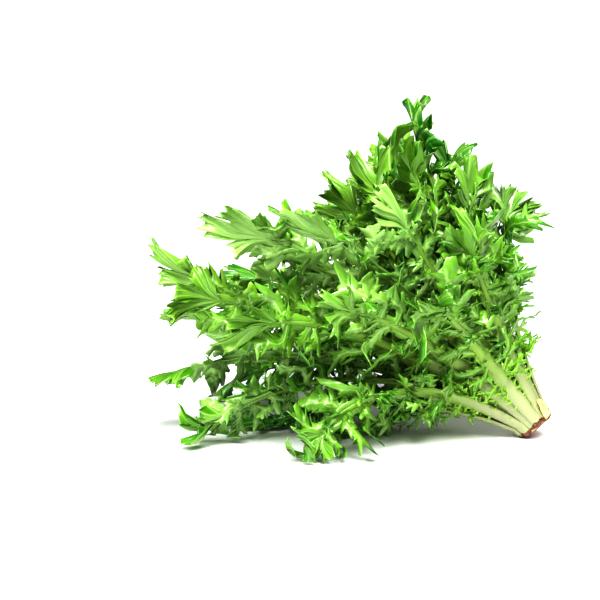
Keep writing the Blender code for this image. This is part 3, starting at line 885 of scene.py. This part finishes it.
def dried_base():
    """The base of a leaf that was torn away: a small curved flap on the upper side of the butt. It
    flares out a little from the stalks, and its end and sides are ragged."""
    up = np.linspace(0.0, 1.0, 22)[:, None]
    across = np.linspace(-1.0, 1.0, 15)
    ragged = 1.0 + 0.06 * np.sin(9.0 * up) + 0.04 * np.sin(31.0 * up)
    turn = FLAP_TURN + FLAP_HALF_ANGLE * across * ragged * (1.0 - 0.45 * smooth((up - 0.45) / 0.55))
    rounding = (0.9 * np.sin(11.0 * across) * up - 2.4 * across**2) * MM
    height = FLAP_START + up * (FLAP_LENGTH + rounding)
    radius = FLAP_RADIUS + FLAP_FLARE * up**1.2 + CUT_ROUGHNESS * np.sin(23.0 * up + 3.0 * across)
    out = round_the_axis(turn)
    points = CUT_CENTRE + height[..., None] * AXIS + radius[..., None] * out
    marks = {
        "cut": smooth((0.12 - up) / 0.1),
        "across": 1.0,
        "up": 1.0,
        "dried": 0.25 + 0.6 * np.exp(-(((across + 0.3) / 0.5) ** 2) - ((up - 0.62) / 0.34) ** 2),
    }
    return closed_sheets(points[None], out[None], FLAP_HALF, marks, np.array([True]))


class Value:
    """A socket in a node tree. Arithmetic on it adds Math nodes."""

    def __init__(self, finish, socket):
        self.finish, self.socket = finish, socket

    def math(self, operation, *others):
        node = self.finish.node("ShaderNodeMath", {"operation": operation}, self, *others)
        return Value(self.finish, node.outputs[0])

    def __add__(self, other):
        return self.math("ADD", other)

    def __mul__(self, other):
        return self.math("MULTIPLY", other)

    def __sub__(self, other):
        return self.math("SUBTRACT", other)

    def __rsub__(self, other):
        node = self.finish.node("ShaderNodeMath", {"operation": "SUBTRACT"}, other, self)
        return Value(self.finish, node.outputs[0])

    def __pow__(self, other):
        return self.math("POWER", other)

    __radd__, __rmul__ = __add__, __mul__

    def from_to(self, low, high):
        """0 where the value is low, 1 where it is high, smoothly between and clamped beyond."""
        settings = {"interpolation_type": "SMOOTHSTEP"}
        node = self.finish.node("ShaderNodeMapRange", settings, self, low, high, 0.0, 1.0)
        return Value(self.finish, node.outputs[0])


class Finish:
    """A material's node tree, with short ways to add nodes to it."""

    def __init__(self, name):
        self.material = bpy.data.materials.new(name)
        self.material.use_nodes = True
        self.tree = self.material.node_tree
        self.tree.nodes.clear()

    def feed(self, socket, value):
        """Links the socket to another one's value, or sets it to a number or colour."""
        value = value.socket if isinstance(value, Value) else value
        if isinstance(value, bpy.types.NodeSocket):
            self.tree.links.new(value, socket)
        else:
            socket.default_value = value

    def node(self, kind, settings=None, *inputs, **named):
        """A node of this kind. Its settings are set first, then its inputs, in order or by name."""
        node = self.tree.nodes.new(kind)
        for key, value in (settings or {}).items():
            setattr(node, key, value)
        for socket, value in zip(node.inputs, inputs):
            self.feed(socket, value)
        for key, value in named.items():
            self.feed(node.inputs[key], value)
        return node

    def mark(self, name):
        """A number that the mesh carries at each point."""
        return Value(self, self.node("ShaderNodeAttribute", {"attribute_name": name}).outputs["Fac"])

    def noise(self, scale, detail=2.0):
        """Cloudy noise through the head, near 0.5, with this many clouds to a metre."""
        place = self.node("ShaderNodeTexCoord").outputs["Object"]
        node = self.node("ShaderNodeTexNoise", None, place, Scale=scale, Detail=detail)
        return Value(self, node.outputs["Fac"])

    def mix(self, share, first, second):
        """The first colour where the share is 0, the second where it is 1."""
        node = self.node("ShaderNodeMix", {"data_type": "RGBA"})
        for place, value in ((0, share), (6, first), (7, second)):
            self.feed(node.inputs[place], value)
        return node.outputs[2]

    def bump(self, height, strength, distance):
        """The normal of a surface with this height, taken up to the distance at full strength."""
        node = self.node("ShaderNodeBump", None, Height=height, Strength=strength, Distance=distance)
        return node.outputs[0]

    def principled(self, colour, roughness, **named):
        """A surface shader of this colour and roughness, with its other sockets by name."""
        sockets = {"Base Color": colour, "Roughness": roughness, **named}
        return self.node("ShaderNodeBsdfPrincipled", None, **sockets).outputs[0]

    def surface(self, shader):
        """The material, with this shader as its surface."""
        self.node("ShaderNodeOutputMaterial", None, shader)
        return self.material


def screen_colour(*channels):
    """Red, green and blue as they look on a screen, 0 to 255, turned into light, and opaque."""
    shares = [channel / 255.0 for channel in channels]
    light = [((share + 0.055) / 1.055) ** 2.4 if share > 0.04 else share / 12.92 for share in shares]
    return (*light, 1.0)


# A slot for each tier of leaves, with its blade's deep and bright green, its underside and the light
# that shines through
LEAF_GREENS = {
    "outer": ("outer_leaf_green", (2, 110, 0), (116, 184, 4), (142, 196, 56), (76, 190, 0)),
    "middle": ("middle_leaf_green", (12, 120, 0), (130, 192, 8), (152, 200, 62), (94, 194, 0)),
    "heart": ("heart_leaf_yellow", (112, 176, 14), (168, 214, 50), (168, 212, 70), (180, 220, 30)),
}

# The colours that the leaves share
MILKY_UNDERSIDE = screen_colour(182, 218, 136)
YOUNG_BLADE = screen_colour(164, 220, 36)
VEIN = screen_colour(206, 232, 152)
FINE_LINE = screen_colour(196, 230, 120)
STALK_FOOT = screen_colour(196, 198, 160), screen_colour(162, 176, 106)
STALK_ABOVE = screen_colour(160, 194, 76), screen_colour(130, 174, 42)
STALK_END_DRY = screen_colour(82, 36, 20), screen_colour(160, 84, 44)

# The butt's colours
CREAM = screen_colour(236, 232, 190), screen_colour(220, 214, 150)
FLAP_CREAM = screen_colour(246, 224, 150)
FLAP_DRIED = screen_colour(226, 152, 62)
RIM_DRY = screen_colour(72, 32, 20), screen_colour(150, 74, 40)
PITH_DRY = screen_colour(196, 150, 96), screen_colour(150, 98, 56)


def leaf_finish(name, deep, bright, under, shining_through):
    """A leaf's colours: cream at the foot of the stalk, pale green up the rib, and in the blade deep
    green to bright green by patches, paler or milky under the leaf, with pale veins to the teeth and
    fine pale lines between them. The very end of the stalk, at the cut, has dried to brown."""
    f = Finish(name)
    along, edge, stalk, back = f.mark("along"), f.mark("edge"), f.mark("stalk"), f.mark("back")
    vein, ridge, tint = f.mark("vein"), f.mark("ridge"), f.mark("tint")
    patches = f.noise(38.0, 3.0)
    fine = f.noise(420.0)
    streaks = (ridge * 220.0 + fine * 1.5).math("SINE") * 0.5 + 0.5

    share = (patches * 0.9 + tint * 0.5 - 0.25 + edge * 0.12).from_to(0.25, 0.95)
    blade = f.mix(share, deep, bright)
    under = f.mix(tint.from_to(0.42, 0.82), under, MILKY_UNDERSIDE)
    blade = f.mix(back * (patches * 0.7 + 0.3), blade, under)
    blade = f.mix(1.0 - along.from_to(0.1, 0.42), blade, YOUNG_BLADE)
    blade = f.mix(vein.from_to(0.76, 1.0) * (1.0 - edge * 0.5) * 0.7, blade, VEIN)
    blade = f.mix(streaks**3.0 * (0.2 - edge * 0.1), blade, FINE_LINE)

    foot = f.mix(streaks * 0.6, *STALK_FOOT)
    above = f.mix(streaks * 0.4, *STALK_ABOVE)
    rib = f.mix(along.from_to(0.04, 0.5), foot, above)
    blade = f.mix((1.0 - edge.from_to(0.0, 0.3)) * (1.0 - along.from_to(0.15, 0.8)) * 0.7, blade, rib)
    rib = f.mix(along.from_to(0.6, 0.95), rib, blade)
    dry = f.mix(fine.from_to(0.35, 0.65), *STALK_END_DRY)
    rib = f.mix(1.0 - (along + fine * 0.036 - 0.018).from_to(-0.034, -0.028), rib, dry)
    colour = f.mix(stalk, blade, rib)

    height = streaks * stalk * 0.5 + fine * 0.25 + vein * 0.4 + patches
    gloss = {"Specular IOR Level": 0.6, "Coat Weight": 0.7, "Coat Roughness": 0.26}
    shader = f.principled(colour, fine * 0.15 + 0.24, Normal=f.bump(height, 0.35, 0.6 * MM), **gloss)
    glow = f.node("ShaderNodeBsdfTranslucent", None, Color=shining_through).outputs[0]
    return f.surface(f.node("ShaderNodeMixShader", None, 0.16, shader, glow).outputs[0])


def butt_finish():
    """Cream stem above, and a rough cut below that has dried to brown and orange-brown. The torn flap
    has dried to orange in one blot."""
    f = Finish("butt_cream_and_dry_cut")
    cut, across, up, dried = f.mark("cut"), f.mark("across"), f.mark("up"), f.mark("dried")
    grain = f.noise(260.0, 4.0)
    blots = f.noise(90.0, 3.0)
    cream = f.mix(blots, *CREAM)
    cream = f.mix(dried.from_to(0.0, 0.3), cream, FLAP_CREAM)
    cream = f.mix((dried + blots * 0.3).from_to(0.6, 1.05), cream, FLAP_DRIED)
    rim = f.mix(grain.from_to(0.3, 0.7), *RIM_DRY)
    dry = f.mix(across.from_to(0.35, 0.8), f.mix(grain, *PITH_DRY), rim)
    normal = f.bump(grain * cut + blots * 0.3 + up, 0.8, 1.2 * MM)
    return f.surface(f.principled(f.mix(cut, cream, dry), grain * 0.2 + 0.5, Normal=normal))


def add_floor():
    """A plain pale floor at height 0."""
    finish = Finish("pale_floor")
    mesh = bpy.data.meshes.new("floor")
    corners = [(x * FLOOR_HALF, y * FLOOR_HALF, 0.0) for x, y in ((-1, -1), (1, -1), (1, 1), (-1, 1))]
    mesh.from_pydata(corners, [], [(0, 1, 2, 3)])
    mesh.materials.append(finish.surface(finish.principled((0.88, 0.88, 0.88, 1.0), 0.6)))
    floor = in_scene("floor", mesh)


def turn_to(thing, direction, axis):
    """Turns the thing so that this axis of its own points in the direction."""
    thing.rotation_mode = "QUATERNION"
    thing.rotation_quaternion = Vector(direction).to_track_quat(axis, "Y")


def add_light(name, place, size, power):
    """A soft square light that looks at the middle of the head."""
    lamp = bpy.data.lights.new(name, "AREA")
    lamp.size, lamp.energy = size, power
    thing = in_scene(name, lamp)
    thing.location = place
    turn_to(thing, Vector(HEAD_MIDDLE) - Vector(place), "-Z")


def light_studio():
    """A broad soft sun from high in front, a dim sky, a softbox for gloss and a weaker one behind. The
    camera sees white behind the floor."""
    sun = bpy.data.lights.new("soft_sun", "SUN")
    sun.energy, sun.angle = SUN_POWER, SUN_WIDTH
    turn_to(in_scene("soft_sun", sun), SUN_FROM, "Z")
    add_light("gloss", place=(-0.7, -1.3, 1.1), size=0.7, power=23.0)
    add_light("back_fill", place=(0.5, 1.3, 1.0), size=0.9, power=9.0)
    world = bpy.data.worlds.new("studio")
    world.use_nodes = True
    tree = world.node_tree
    sky, seen = tree.nodes["Background"], tree.nodes.new("ShaderNodeBackground")
    sky.inputs["Color"].default_value = seen.inputs["Color"].default_value = (1.0, 1.0, 1.0, 1.0)
    sky.inputs["Strength"].default_value = SKY_POWER
    choice = tree.nodes.new("ShaderNodeMixShader")
    to_camera = tree.nodes.new("ShaderNodeLightPath").outputs["Is Camera Ray"]
    for socket, source in zip(choice.inputs, (to_camera, sky.outputs[0], seen.outputs[0])):
        tree.links.new(source, socket)
    tree.links.new(choice.outputs[0], tree.nodes["World Output"].inputs["Surface"])
    bpy.context.scene.world = world
    view = bpy.context.scene.view_settings
    view.view_transform = "Standard"
    view.gamma = 0.67
    view.exposure = 0.3


def add_camera():
    """A long lens that looks slightly down at the head, with the butt at the picture's lower right."""
    lens, sensor, picture = 85.0, 36.0, 600.0
    scale = 0.84 * MM
    elevation, round_right = math.radians(8.0), math.radians(12.0)
    butt_across, butt_down = 524.0, 436.0
    distance = scale * picture * lens / sensor
    right = Vector((math.cos(round_right), math.sin(round_right), 0.0))
    level = Vector((math.sin(round_right), -math.cos(round_right), 0.0))
    back = level * math.cos(elevation) + Vector((0.0, 0.0, math.sin(elevation)))
    up = back.cross(right)
    target = right * scale * (picture / 2 - butt_across) + up * scale * (butt_down - picture / 2)
    data = bpy.data.cameras.new("camera")
    data.lens, data.sensor_width = lens, sensor
    camera = in_scene("camera", data)
    camera.location = target + back * distance
    turn_to(camera, -back, "-Z")
    bpy.context.scene.camera = camera


def main():
    """Builds the studio, the finishes, the 54 leaves from the outside in, and the butt."""
    add_camera()
    add_floor()
    light_studio()
    finishes = {
        tier: (slot, leaf_finish(f"{tier}_leaf", *(screen_colour(*green) for green in greens)))
        for tier, (slot, *greens) in LEAF_GREENS.items()
    }
    for k in reversed(range(LEAF_COUNT)):
        slot, material = finishes[leaf_tier(k)]
        fine_leaf(k, material)
    butt = make_piece("butt_fine", [butt_form(), dried_base()], butt_finish())
    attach(butt, "root")
    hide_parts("butt")


main()
